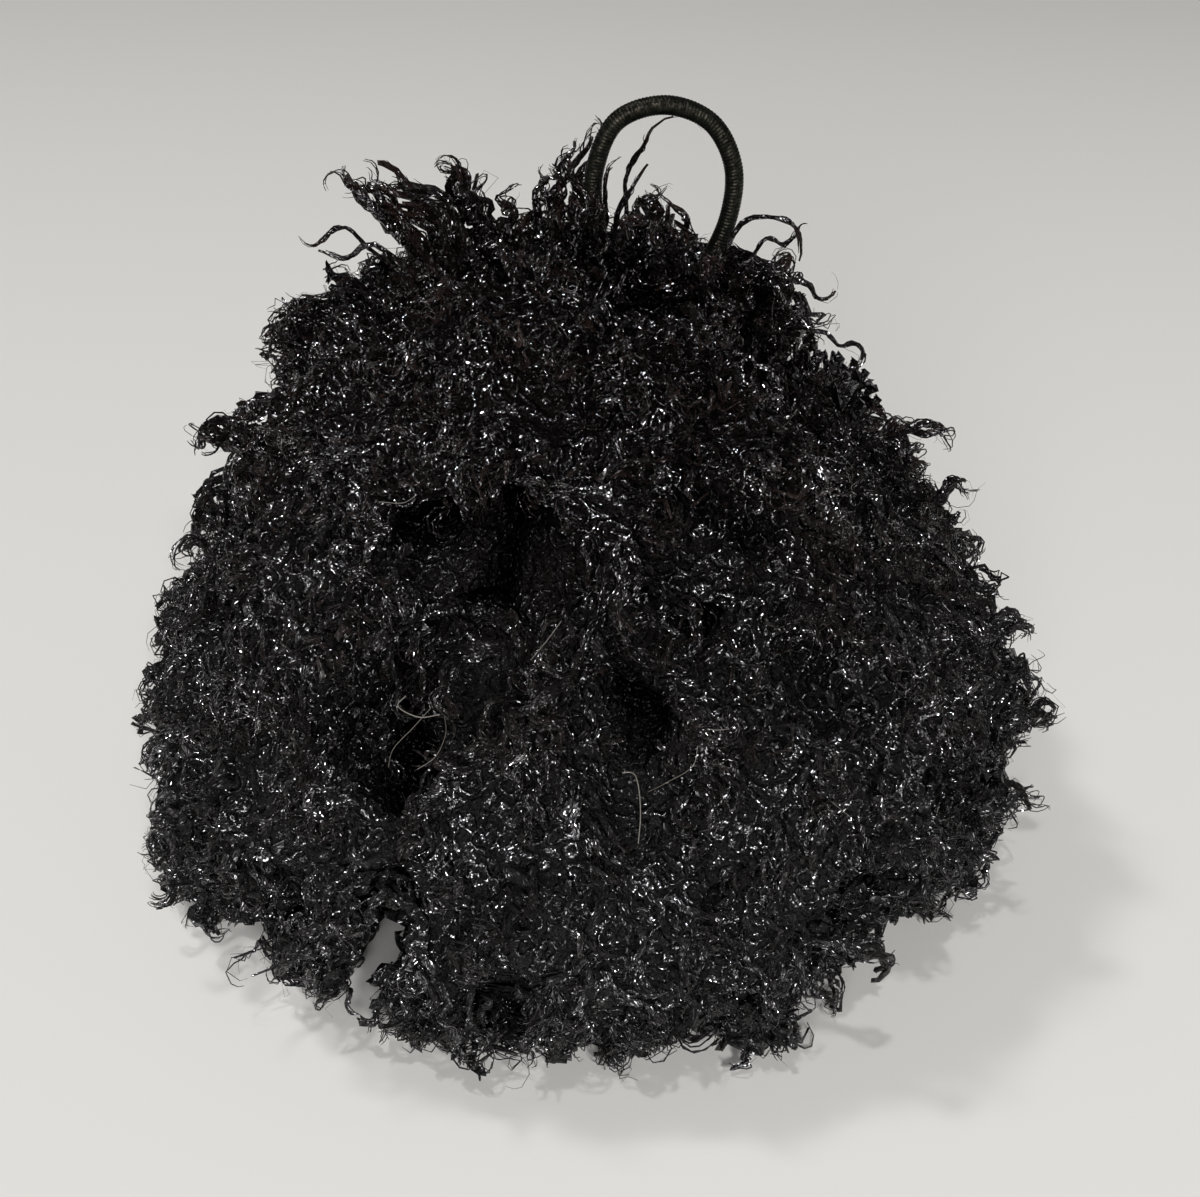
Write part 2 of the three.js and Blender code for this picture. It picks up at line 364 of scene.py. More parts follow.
def fibre_material(name, pile, along, gloss, warm):
    """Near-black glossy fibre: many tiny facets that each catch the light their own way."""
    nodes = Nodes(name)
    place = nodes.place()
    parts = nodes.add("SeparateXYZ", Vector=place)
    fibre = fibre_colour(nodes, place, parts["Z"], pile, warm)
    # Painted shade: where the open attribute says a place gets less light, its colour and its shine are
    # darkened.
    open_share = nodes.attribute("open")
    shine = nodes.times(nodes.attribute("shine"), open_share, flock_shine(nodes, place, parts))
    if along:
        fibres = nodes.add("UVMap", {"uv_map": "fibres"})["UV"]
        facets = nodes.add("TexVoronoi", {"voronoi_dimensions": "2D"}, Vector=fibres, Scale=1.0)
        facing = nodes.add("NewGeometry")["Normal"]
    else:
        facets = nodes.add("TexVoronoi", Vector=place, Scale=4600.0)
        ridges, facing = curl_marks(nodes, place)
        shine = nodes.times(shine, ridges)
    centred = nodes.vector("SUBTRACT", facets["Color"], _1=(0.5, 0.5, 0.5))
    leaning = nodes.vector("ADD", facing, _1=nodes.vector("SCALE", centred, Scale=1.2))
    chance = nodes.add("TexWhiteNoise", Vector=facets["Position"])["Value"]
    shine = nodes.times(shine, nodes.number("POWER", chance, 3.0))
    looks = {
        "Base Color": nodes.vector("SCALE", fibre, Scale=open_share),
        "Normal": nodes.vector("NORMALIZE", leaning),
        "Specular IOR Level": nodes.ramp(shine, 0.0, 0.5, low=0.05, high=gloss),
        # Painted light: the faint blue tint on the glints stands in for the colour of the light.
        "Specular Tint": (0.97, 0.96, 1.0, 1),
        "Roughness": 0.2,
    }
    nodes.look(looks)
    return nodes.material


def stray_material():
    """Pale lint."""
    nodes = Nodes("stray_fibre")
    patches = nodes.noise(nodes.place(), scale=60.0, detail=1.0)
    lint = nodes.mix(patches, (0.05, 0.047, 0.044), (0.22, 0.195, 0.17))
    nodes.look({"Base Color": lint, "Roughness": 0.4})
    return nodes.material


def cover_material(elastic):
    """Dull thread wound over the elastic, worn paler in places and rubbed shinier in others, with a warm
    painted reflection.
    """
    nodes = Nodes("covering_thread")
    place = nodes.place()
    wear = nodes.ramp(nodes.noise(place, scale=420.0, detail=3.0), 0.35, 0.7)
    worn = [2.1 * part for part in elastic.cover]
    fibres = nodes.noise(place, scale=5200.0, detail=2.0)
    rubbed = nodes.noise(place, scale=1700.0, detail=3.0)
    looks = {
        "Base Color": nodes.mix(wear, elastic.cover, worn),
        "Normal": nodes.relief(fibres, strength=0.6, distance=0.08 * MM),
        "Specular IOR Level": nodes.ramp(rubbed, 0.4, 0.68, low=0.03, high=0.3),
        # Painted reflection: the warm tint on the thread's shine stands in for warm surroundings reflected in
        # it.
        "Specular Tint": (1.0, 0.88, 0.7, 1),
        "Roughness": 0.3,
    }
    nodes.look(looks)
    return nodes.material


# -------------------- the under-fur


def under_fur_form(pile):
    """The ball's solid as one even mesh, with the cleft cut through its rim."""
    form = new_object("under_fur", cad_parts["fur_ball"].data.copy())
    edit_all(form, bpy.ops.mesh.remove_doubles, threshold=1e-6)
    cut_cleft(form)
    form.data.remesh_voxel_size = pile.voxel
    bpy.ops.object.voxel_remesh()
    modify(form, "SMOOTH", factor=0.5, iterations=6)
    return form


def form_table(form):
    """Places on the ball's outer form, the way each faces, and how deep it lies in a hollow of the form."""
    places = vectors_of(form.data.vertices, "co")
    facing = vectors_of(form.data.vertex_normals, "vector")
    level = new_object("level", form.data.copy())
    modify(level, "SMOOTH", factor=0.5, iterations=60)
    hollow = ((vectors_of(level.data.vertices, "co") - places) * facing).sum(1)
    bpy.data.objects.remove(level)
    return {"places": places, "facing": facing, "hollow": hollow}


LUMPS, RIDGES = 420, 240  # how many of each there are to a metre of the under-fur


def draw_in(form, table, pile):
    """Moves the form in to the under-fur's depth, and gives it the small lumps of matted curls."""
    places, facing = table["places"], table["facing"]
    lumps = np.array([noise.fractal(Vector(place) * LUMPS, 1.0, 2.0, 2) for place in places])
    ridges = np.abs(noise_at(places, RIDGES))
    on_floor = 1 - rounded(0.5 * MM, 4 * MM, places[:, 2])
    depth = pile.under_depth - pile.frizz * (lumps + 1.2 * (0.3 - ridges)) + parting_depth(places)
    inward = -facing * (1 - on_floor)[:, None] - places * (1, 1, 0) * (on_floor / BALL_HIGH[0])[:, None]
    moved = places + inward * depth[:, None]
    moved[:, 2] = np.maximum(moved[:, 2], 0)
    form.data.vertices.foreach_set("co", moved.astype(np.float32).ravel())
    form.data.update()
    # Painted shade: the under-fur shines less deep in the partings and hollows, and its colour and shine are
    # darkened in the bare partings and shades.
    sunk = np.clip(parting_depth(places) / (8 * MM) + np.maximum(table["hollow"], 0) / (1.5 * MM), 0, 1)
    give_values(form.data, "shine", 1 - sunk)
    give_values(form.data, "open", openness(places))
    form.data.shade_smooth()


# -------------------- the strands


def spread(places, gap, rng):
    """Picks places that stand at least a gap apart, in a random order."""
    size = 2 * gap.max()
    cells, kept = {}, []
    for i in rng.permutation(len(places)):
        x, y, z = (int(part) for part in places[i] // size)
        around = product((x - 1, x, x + 1), (y - 1, y, y + 1), (z - 1, z, z + 1))
        near = (k for cell in around for k in cells.get(cell, ()))
        if all(np.dot(places[i] - places[k], places[i] - places[k]) > gap[i] ** 2 for k in near):
            cells.setdefault((x, y, z), []).append(i)
            kept.append(i)
    return np.array(kept)


UNDERSIDE = -0.7  # where the ball faces further down than this, its ringlets are short and plain
SHALLOW = 1.3 * MM  # the depth of hollow in the form up to which ringlets grow
THINNED = 3 * MM  # the depth of bare parting up to which ringlets grow
SPARSE = 1.9  # how much further apart they grow on the underside
DROOP = 0.8  # how much the pile leans down, next to one part away from the gather
GATHER_DEPTH = 6 * MM  # how far below the crown the pile is gathered
SWIRLS, CLUMPS, FLOCKS = 45, 70, 150  # how many of each there are to a metre of the pile


def flow_of(root, facing, low, rng):
    """The way each ringlet leans: away from the gather and down, in swirls, and low down to a side."""
    gather = np.array(((LOOP_LOW[0] + LOOP_HIGH[0]) / 2, LOOP_LOW[1], BALL_HIGH[2] - GATHER_DEPTH))
    flow = unit(root - gather) - UP * np.where(facing[:, 2] < UNDERSIDE, 0.0, DROOP)[:, None]
    flow = unit(flow - facing * (flow * facing).sum(1, keepdims=True))
    turn = 1.3 * noise_at(root, SWIRLS) + rng.normal(0, 0.35, len(root))
    turn += low * rng.choice((-1.2, 1.2), len(root))
    return unit(turned(flow, np.cross(facing, flow), turn))


def lock_table(table, pile, rng):
    """Where each ringlet of the pile grows, and how it flows, reaches, curls and hooks."""
    near_floor = 1 - rounded(8 * MM, 18 * MM, table["places"][:, 2])
    gap = pile.lock_spacing * np.where(table["facing"][:, 2] < UNDERSIDE, SPARSE, 1 - 0.2 * near_floor)
    kept = spread(table["places"], gap, rng)
    bare = parting_depth(table["places"][kept], BARE_PARTINGS)
    kept = kept[(table["hollow"][kept] < SHALLOW) & (bare < THINNED)]
    count = len(kept)
    facing = table["facing"][kept]
    under = facing[:, 2] < UNDERSIDE
    root = table["places"][kept] - facing * pile.under_depth
    low = 1 - rounded(4 * MM, 18 * MM, root[:, 2])
    foot = 1 - rounded(10 * MM, 45 * MM, root[:, 2])
    crown = rounded(0.75, 0.97, root[:, 2] / BALL_HIGH[2])
    flow = flow_of(root, facing, low, rng)
    advance = pile.lock_length * rng.uniform(0.45, 1.1, count) * (1 - 0.35 * crown)
    reach = rng.normal(-1.6, 0.7, count) + 2.8 * noise_at(root, CLUMPS, (5, 0, 0))
    reach += 1.5 * noise_at(root, FLOCKS)
    reach += 0.9 * crown + 1.4 * low - 2.5 * np.clip(table["hollow"][kept] / SHALLOW, 0, 1) - 1.0 * foot
    return {
        "root": root,
        "facing": facing,
        "flow": flow,
        "side": np.cross(facing, flow),
        "reach": np.where(under, -1.5, np.clip(reach, -4.0, 1.2)) * MM,
        "length": pile.under_depth + advance,
        "rise": pile.under_depth + np.where(under, -2.0, np.clip(reach, -2.5, 3.5)) * MM,
        "advance": advance,
        "width": pile.lock_width * np.exp(rng.normal(-0.05, 0.25, count)),
        "gather": rng.uniform(0.25, 0.7, count),
        "curl": rng.uniform(0.35, 1.0, count) * MM,
        "curl_turn": TURN * rng.uniform(1.4, 3.2, count) * rng.choice((-1, 1), count),
        "curl_start": rng.uniform(0, TURN, count),
        "hook": rng.uniform(0.6, 4.6, count) * ~under,
        "hook_way": rng.uniform(0, TURN, count),
        "turns": rng.uniform(0.7, 1.5, count),
        "begin": rng.uniform(0.2, 0.6, count),
        "curl_size": np.exp(rng.normal(0, 0.3, count)),
        "scatter": np.full(count, 0.8 * MM),
        "loop": np.ones(count),
        "shine": 0.12 + 0.88 * rng.random(count) ** 2,
    }


CROSSED = 2.5 * MM  # the depth of bare parting that ringlets may lie over
BESIDE_CLEFT = 1.2 * MM  # how far into the cleft they may reach
OVER_FLOOR = {"paths": 0.2 * MM, "middles": 0.15 * MM, "strands": 0.3 * MM}  # the least heights
LOCK_STATIONS = 24  # steps along one ringlet's path
NEAR_TIP = LOCK_STATIONS * 3 // 4
SHARES = np.linspace(0, 1, LOCK_STATIONS + 1)  # how far along the path each step ends


def picked(table, rows):
    """Some rows of a table."""
    return {key: values[rows] for key, values in table.items()}


def turned(first, second, angle):
    """The direction at an angle from the first of two, towards the second."""
    return first * np.cos(angle)[..., None] + second * np.sin(angle)[..., None]


def beside(ways, across, outward):
    """The points of lines, each moved by its own distances along the two axes across its line."""
    return ways["line"] + ways["across"] * across[..., None] + ways["outward"] * outward[..., None]


def above(points, height):
    """The points, raised to a height over the floor where they are lower."""
    points[..., 2] = np.maximum(points[..., 2], height)
    return points


def framed(line, side):
    """A line with its axes: along it and two across it."""
    along = unit(np.gradient(line, axis=1))
    across = unit(side - along * (side * along).sum(-1, keepdims=True))
    return {"line": line, "along": along, "across": across, "outward": np.cross(along, across)}


def lock_paths(locks):
    """Each ringlet's middle line and axes: it rises from the under-fur, leans, curls and hooks."""
    facing, flow, side = (locks[key][:, None, :] for key in ("facing", "flow", "side"))
    rise, advance, hook, hook_way = (locks[key][:, None] for key in ("rise", "advance", "hook", "hook_way"))
    up = rise * (1.5 * SHARES * (1 - SHARES) + SHARES**2)
    out = advance * (0.4 * SHARES * (1 - SHARES) + SHARES**2)
    straight = framed(up[..., None] * facing + out[..., None] * flow, side)
    steps = np.linalg.norm(np.diff(straight["line"], axis=1, prepend=0), axis=-1)
    aside = turned(straight["across"], straight["outward"], hook_way)
    heading = turned(straight["along"], aside, hook * rounded(0.55, 1.1, SHARES))
    line = locks["root"][:, None, :] + np.cumsum(heading * steps[..., None], axis=1)
    return framed(line, side)


def clumped(locks, paths, pile, rng):
    """Gathers the ringlets' tips into tufts, each round the tip of one of them."""
    root, tip = locks["root"], paths["line"][:, -1]
    leaders = spread(root, np.full(len(root), pile.tuft_spacing), rng)
    away = ((root[:, None, :] - root[None, leaders, :]) ** 2).sum(-1)
    pull = (tip[leaders[away.argmin(1)]] - tip) * locks["gather"][:, None]
    return framed(paths["line"] + pull[:, None, :] * SHARES[:, None] ** 1.5, paths["across"])


def curled(locks, ways):
    """The ringlets' middle lines, each wound into the slow curl of its lock."""
    turn = locks["curl_turn"][:, None] * SHARES + locks["curl_start"][:, None]
    swing = locks["curl"][:, None] * (rounded(0.05, 0.45, SHARES) + 0.5 * SHARES**4)
    return framed(beside(ways, swing * np.cos(turn), swing * np.sin(turn)), ways["across"])


def settle(locks, paths, outer):
    """Draws each ringlet's tip in or out until it stands as far from the ball's form as it should."""
    height = np.full(len(locks["root"]), -1.0)
    for station in (LOCK_STATIONS // 2, NEAR_TIP, LOCK_STATIONS):
        for i, place in enumerate(paths["line"][:, station]):
            near, facing, _, _ = outer.find_nearest(Vector(place))
            height[i] = max(height[i], (Vector(place) - near).dot(facing))
    lower = parting_depth(paths["line"][:, NEAR_TIP])
    excess = (height - locks["reach"] + lower)[:, None, None]
    line = paths["line"] - locks["facing"][:, None, :] * excess * rounded(0, 0.9, SHARES)[:, None]
    thick = lock_breadth(SHARES) * locks["width"][:, None] / 2
    return framed(above(line, thick + OVER_FLOOR["paths"]), locks["side"][:, None, :])


def ringlets(table, outer, pile, rng):
    """The ball's ringlets and their paths, without those that cross a bare parting or the cleft."""
    locks = lock_table(table, pile, rng)
    paths = curled(locks, clumped(locks, lock_paths(locks), pile, rng))
    paths = settle(locks, paths, outer)
    outer_half = paths["line"][:, LOCK_STATIONS // 2 :]
    bare = parting_depth(outer_half.reshape(-1, 3), BARE_PARTINGS).reshape(outer_half.shape[:2]).max(1)
    in_the_way = in_cleft(paths["line"], BESIDE_CLEFT).any(axis=1) | (bare > CROSSED)
    clear = np.flatnonzero(~in_the_way)
    return picked(locks, clear), picked(paths, clear)


def lock_breadth(share):
    """A ringlet's breadth as a share of its greatest: it narrows to a tip."""
    return (0.8 + 0.2 * rounded(0, 0.3, share)) * (1 - share**2.4) ** 0.8 + 0.06


CORE_SIDES, STRAND_SIDES, STRAY_SIDES = 3, 3, 6
CORE_END = 0.88  # where a ringlet's matted middle ends, as a share of its path


def core_rings(locks, paths, steps, rng):
    """The rings of the ringlets' matted middles: tapered, twisted and lumpy."""
    pick = np.linspace(0, CORE_END * LOCK_STATIONS, steps + 1).round().astype(int)
    share = pick[None, :, None] / LOCK_STATIONS
    twist = (locks["curl_turn"] / 2)[:, None, None] * share
    turn = TURN * np.arange(CORE_SIDES) / CORE_SIDES + twist
    lumps = np.exp(rng.normal(0, 0.08, turn.shape)) * (1 + 0.2 * np.sin(2 * turn - 2.5 * twist))
    reach = locks["width"][:, None, None] / 2 * lock_breadth(share) * lumps
    ways = {key: values[:, pick][:, :, None, :] for key, values in paths.items()}
    return above(beside(ways, reach * np.sin(turn), reach * np.cos(turn)), OVER_FLOOR["middles"])


def round_rings(ways, thick, sides):
    """The rings of round tubes along lines."""
    turns = TURN * np.arange(sides) / sides
    spokes = [ways["across"] * math.cos(turn) + ways["outward"] * math.sin(turn) for turn in turns]
    return np.stack([ways["line"] + spoke * thick[..., None] for spoke in spokes], axis=2)


# The two kinds of strand: those that curl with their ringlet, and the fine hairs astray from it. How
# much their start, their curl's size, its turns and its phase vary, and how wide and how many their
# curls, how far aside and how thick they are, next to the ringlet's own measures.
CURLING = {
    "start": 0.05, "size": 0.08, "turns": 0.06, "phase": 0.3,
    "wide": 1, "many": 1, "aside": 0.4, "thick": 1,
}
ASTRAY = {
    "start": 0.2, "size": 0.43, "turns": 0.26, "phase": 2.3,
    "wide": 1.4, "many": 0.6, "aside": 1.4, "thick": 0.3,
}


# What is the same for both kinds. Lengths and sizes are in millimetres.
STRAND_LENGTHS = (6.5, 10.5)
PAST_TIP = 1.12  # how far a strand may go, as a share of its ringlet's path
CRIMP_SIZES = (0.04, 0.16)  # how far the fine waves of a strand swing
CRIMP_TURNS = (2.0, 3.0)
THINNING = 0.75  # how much of its thickness a strand loses by its tip


def strand_rings(locks, paths, owner, kind, steps, pile, rng):
    """The rings of strands of one kind, each on the ringlet that owns it."""
    each = (len(owner), 1)
    own = {key: value[owner][:, None] for key, value in locks.items() if value.ndim == 1}
    grown = np.linspace(0, 1, steps + 1)[None, :]
    begin = np.clip(own["begin"] + rng.normal(0, kind["start"], each), 0.05, 0.8)
    span = np.minimum(rng.uniform(*STRAND_LENGTHS, each) * MM / own["length"], PAST_TIP - begin)
    share = begin + span * grown
    place = np.clip(share, 0, 1) * LOCK_STATIONS
    low = np.minimum(place.astype(int), LOCK_STATIONS - 1)
    part = (place - low)[..., None]
    rows = owner[:, None]
    ways = {key: way[rows, low] * (1 - part) + way[rows, low + 1] * part for key, way in paths.items()}
    ways["line"] = ways["line"] + ways["along"] * (0.6 * np.maximum(share - 1, 0) * own["length"])[..., None]
    size = own["curl_size"] * np.exp(rng.normal(0, kind["size"], each))
    radius = pile.curl_radius * own["loop"] * size * kind["wide"]
    turns = own["turns"] * kind["many"] * np.exp(rng.normal(0, kind["turns"], each))
    phase = own["curl_start"] + rng.normal(0, kind["phase"], each)
    angle = phase + np.sign(own["curl_turn"]) * TURN * turns * (grown + 0.15 * grown**3)
    hug = own["width"] / 4 * lock_breadth(np.clip(share, 0, 1)) * rng.uniform(0.7, 1.3, each)
    out = (hug + radius) * rounded(0.0, 0.8, grown) + 0.2 * radius
    aside = own["scatter"] * kind["aside"] * rng.normal(0, 1, each)
    crimp = rng.uniform(*CRIMP_SIZES, each) * MM
    small = rng.uniform(0, TURN, each) + TURN * rng.uniform(*CRIMP_TURNS, each) * grown
    sideways = out * np.cos(angle) + aside + crimp * np.cos(small)
    upward = out * np.sin(angle) + crimp * np.sin(small)
    line = above(beside(ways, sideways, upward), OVER_FLOOR["strands"])
    thick = pile.strand_width / 2 * np.exp(rng.normal(0, 0.2, each)) * kind["thick"]
    thick = thick * (1 - THINNING * grown**2)
    return round_rings(framed(line, ways["across"]), thick, STRAND_SIDES)


def side_faces(first, count, stations, sides):
    """The corners of the faces along some tubes, whose vertices are numbered from the first on."""
    here = first + np.arange(count)[:, None, None] * stations * sides
    here = here + np.arange(stations - 1)[:, None] * sides
    corner = np.arange(sides)
    following = (corner + 1) % sides
    quads = (here + corner, here + following, here + sides + following, here + sides + corner)
    return np.stack(quads, axis=-1).reshape(-1, 4)


def tube_mesh(name, families):
    """One mesh of closed tubes, and its bake map.

    Each family of tubes has its rings, as an array (tubes, stations, sides, 3), its part of the bake map
    and how much each of its tubes shines.
    """
    made = {key: [] for key in ("places", "loops", "sizes", "OFBake", "fibres", "tip", "shine", "open")}
    first, low = 0, 0.0
    for rings, part_of_map, shine in families:
        count, stations, sides = rings.shape[:3]
        faces = side_faces(first, count, stations, sides)
        base = first + np.arange(count)[:, None] * stations * sides + np.arange(sides)
        made["places"].append(rings.reshape(-1, 3))
        made["loops"] += [faces.ravel(), base[:, ::-1].ravel(), (base + (stations - 1) * sides).ravel()]
        made["sizes"] += [np.full(len(faces), 4), np.full(2 * count, sides)]
        made["OFBake"].append(bake_cells(count, stations, sides) * (1, part_of_map) + (0, low))
        made["fibres"].append(fibre_cells(rings))
        made["tip"].append(np.tile(np.repeat(np.linspace(0, 1, stations), sides), count))
        made["shine"].append(np.repeat(shine, stations * sides))
        # How much light each tube gets, read by the painted shade in its colour and shine.
        made["open"].append(np.repeat(openness(rings[:, stations * 2 // 3, 0]), stations * sides))
        first += rings.size // 3
        low += part_of_map
    made = {key: np.concatenate(values) for key, values in made.items()}
    mesh = bpy.data.meshes.new(name)
    mesh.vertices.add(len(made["places"]))
    mesh.vertices.foreach_set("co", made["places"].astype(np.float32).ravel())
    mesh.loops.add(len(made["loops"]))
    mesh.loops.foreach_set("vertex_index", made["loops"].astype(np.int32))
    mesh.polygons.add(len(made["sizes"]))
    starts = np.cumsum(made["sizes"]) - made["sizes"]
    mesh.polygons.foreach_set("loop_start", starts.astype(np.int32))
    mesh.update(calc_edges=True)
    mesh.shade_flat()
    for key in ("OFBake", "fibres"):
        layer = mesh.uv_layers.new(name=key)
        layer.uv.foreach_set("vector", made[key].astype(np.float32).ravel())
    for key in ("tip", "shine", "open"):
        give_values(mesh, key, made[key])
    return mesh


# One facet of a fibre, which catches the light its own way.
FACET_LENGTH = 0.3 * MM
FACET_WIDTH = 0.2 * MM
FACETS_APART = 13.7  # how far one tube's facets are from the next tube's
FACET_SLANT = 0.8  # how much they slant round the tube on their way along it

# Whether each corner of a tube's face is on the next ring, and on the next side.
NEXT_RING = np.array((0, 0, 1, 1))
NEXT_SIDE = np.array((0, 1, 1, 0))


def fibre_cells(rings):
    """Each corner's place along and round its tube, counted in the facets of a fibre."""
    count, stations, sides = rings.shape[:3]
    middle = rings.mean(2)
    steps = np.linalg.norm(np.diff(middle, axis=1, prepend=middle[:, :1]), axis=-1)
    lengths = np.cumsum(steps, axis=1) / FACET_LENGTH
    girth = np.linalg.norm(rings[:, :, 0] - middle, axis=-1).max(1) * TURN / FACET_WIDTH
    station = np.arange(stations - 1)[:, None] + NEXT_RING
    u = lengths[:, station][:, :, None, :] + FACETS_APART * np.arange(count)[:, None, None, None]
    around = (np.arange(sides)[:, None] + NEXT_SIDE) / sides
    v = around * girth[:, None, None, None] + FACET_SLANT * u
    quads = np.stack(np.broadcast_arrays(u, v), -1).reshape(-1, 2)
    return np.concatenate([quads, np.zeros((2 * count * sides, 2))])


# In a tube's cell of the bake map: the margin round its sides, and the radius of its ends.
CELL_MARGIN, CAP_RADIUS = 0.08, 0.03


def bake_cells(count, stations, sides):
    """Each tube's corners in its own cell of a unit map: its length along U and its girth along V."""
    columns = max(1, round(math.sqrt(count / 2.5)))
    rows = math.ceil(count / columns)
    tube = np.arange(count)[:, None, None, None]
    corner_of_cell = np.stack([tube % columns / columns, tube // columns / rows], -1)
    u = (np.arange(stations - 1)[:, None, None] + NEXT_RING) / (stations - 1)
    v = (np.arange(sides)[:, None] + NEXT_SIDE) / sides
    inside = CELL_MARGIN + (1 - 2 * CELL_MARGIN) * np.stack(np.broadcast_arrays(u, v), -1)
    quads = (corner_of_cell + inside / (columns, rows)).reshape(-1, 2)
    turn = TURN * np.arange(sides) / sides
    cap = CAP_RADIUS * np.stack([1 + np.cos(turn), 1 + np.sin(turn)], -1) / (columns, rows)
    caps = (corner_of_cell.reshape(count, 1, 2) + cap).reshape(-1, 2)
    return np.concatenate([quads, caps, caps])


# The tufts and loose ringlets that stand out from the ball: how many ringlets, how far apart, and the
# points of the tuft's line from its root to its tip, all in millimetres.
TUFTS = (
    # Above the crown, from left to right.
    (8, 3, (-19, -1, 87), (-23, -1, 93), (-26, 0, 97), (-28, 0, 98.5)),
    (9, 2.5, (-14, -1, 88), (-18, -1, 94), (-23, -1, 97.5), (-28.4, -1, 99.6)),
    (3, 2, (-22, -1, 92), (-27, -1, 98), (-30, -1, 100), (-31, -1, 98.5)),
    (1, 0, (-24, -2, 88), (-31, -1, 93), (-35, -1, 91.5), (-37, -1, 93)),
    (1, 0, (-22, -3, 88), (-27, -3, 91.5), (-31, -3, 90), (-36, -3, 91)),
    (1, 0, (-26, -4, 84), (-31, -4, 86), (-35, -4, 84.5), (-38, -4, 86)),
    (7, 3, (-12, 4, 88), (-14, 4, 94), (-16, 4, 98)),
    (5, 2, (-14, 3, 93), (-16, 3, 99), (-18.3, 3, 102.5)),
    (4, 3, (-8, 3, 88), (-8, 3, 93), (-9, 3, 95.5)),
    (10, 5.5, (-3, 6, 88), (-3, 6, 94), (-2, 7, 99)),
    (6, 3.5, (-2, 6, 93), (-1, 6, 99), (1, 7, 103), (3, 7, 104)),
    (7, 3.5, (1, -2, 88), (2, -3, 95), (2, -4, 99.5)),
    (5, 4, (3, -6, 88), (4, -7, 94), (5, -8, 97)),
    (6, 4.5, (7, -6, 88), (8, -8, 93), (9, -9, 96)),
    (5, 4, (12, -5, 88), (13, -7, 93), (14, -8, 95)),
    (1, 0, (5, 4, 88), (6, 4, 96), (9, 4, 99.5), (11, 4, 101)),
    (1, 0, (3, 5, 88), (4, 5, 97), (4, 5, 100), (5, 5, 101.5)),
    (4, 3.5, (9, 9, 86), (10, 9, 94), (11.5, 9, 97)),
    (1, 0, (6, 4, 90), (7, 3, 100), (9, 2, 105), (12, 1, 106.5), (15, 1, 106)),
    (3, 2.5, (14, -1, 88), (13, -2, 95), (11, -2, 99)),
    (6, 3.5, (15, -4, 84), (17, -5, 90), (18, -6, 92.5)),
    (3, 1.5, (27, -1, 83), (27, -1, 88), (26, -1, 91)),
    (1, 0, (19, 0, 88), (21.3, 0, 93), (25, 0, 94.7), (28.3, 0, 93.4), (29.4, 0, 90), (29, 0, 86)),
    (1, 0, (20, -1, 86), (22.8, -1, 89.1), (25.7, -1, 88.2), (29, -1, 84.7), (28, -1, 81)),
    (1, 0, (22, 2, 85), (25, 2, 91), (27.5, 2, 90), (29.5, 2, 92.5)),
    (1, 0, (26, -2, 87), (30, -2, 86), (32, -2, 84), (34, -2, 85), (34.2, -2, 86.5)),
    (1, 0, (29, -7, 82), (31.7, -8, 81.4), (34, -8, 80.3), (36.3, -8, 79.8), (37.3, -8, 77.6),
     (36.3, -8, 75.6)),
    # Down the right side.
    (3, 2.5, (31, -8, 71), (33, -9, 75.5), (34, -9, 77)),
    (5, 2.2, (37, -8, 63), (40, -8, 67.5), (43, -8, 68.5), (44, -8, 66)),
    (5, 2, (40, -8, 66), (44.5, -8, 65.5), (47.5, -8, 61)),
    (3, 0.9, (40, -7, 65), (46, -7, 68), (50, -7, 66), (49, -7, 63)),
    (3, 2, (46, -8, 55), (52, -8, 59), (55, -8, 58)),
    (6, 2.5, (54, -18, 41), (60, -18, 44), (61.5, -18, 41)),
    (4, 2.5, (59, -20, 28), (66, -20, 29), (68, -20, 26)),
    (3, 2, (53, -37, 26), (59, -37, 28), (62, -37, 26)),
    (2, 1, (27, -58, 22), (35, -61, 23), (38, -61, 20), (36, -61, 18.5), (34, -61, 20)),
    # Down the left side.
    (7, 2.5, (-37, -14, 75), (-42, -15, 73.5), (-45, -15, 71)),
    (7, 3, (-42, -12, 66), (-48, -13, 69), (-51.5, -13, 67)),
    (2, 1.5, (-47, -19, 54), (-52, -19, 56), (-54, -19, 54.5)),
    (3, 2, (-51, -30, 35), (-56, -31, 36.5), (-58, -31, 34.5)),
    (4, 2, (-52, -36, 25), (-56, -36, 23.5), (-57.5, -36, 20)),
    (4, 3, (-50, -39, 17), (-55, -41, 15), (-57, -41, 12)),
    (4, 2, (-50, -42, 15), (-50.5, -44, 12.5), (-47, -44.5, 11.5)),
    # Along the front rim.
    (3, 2.5, (-30, -54, 18), (-31, -58, 14), (-29, -59, 12)),
    (6, 3, (-21, -57, 14), (-24.5, -58, 9.6), (-26, -58, 6.5)),
    (3, 2.5, (-4, -61, 15), (-4.5, -65, 12), (-5.5, -66, 10)),
    (3, 2, (12, -58, 8), (15.5, -57, 4), (17.5, -57, 2)),
    (3, 2, (29, -50, 10.4), (32.9, -50, 5), (35, -50, 2)),
    # Rounds that lie on the front of the ball.
    (2, 1, (-9, -45, 56), (-13, -45, 55), (-15.5, -46, 53), (-16, -48, 51), (-14, -52, 50)),
    (2, 1, (-1, -53, 57), (-3, -54, 56), (-4, -55, 54), (-2, -56, 51)),
    (1, 0, (25.5, -46, 60), (26, -46, 62), (27, -45.5, 62), (27.5, -46, 60.5)),
)
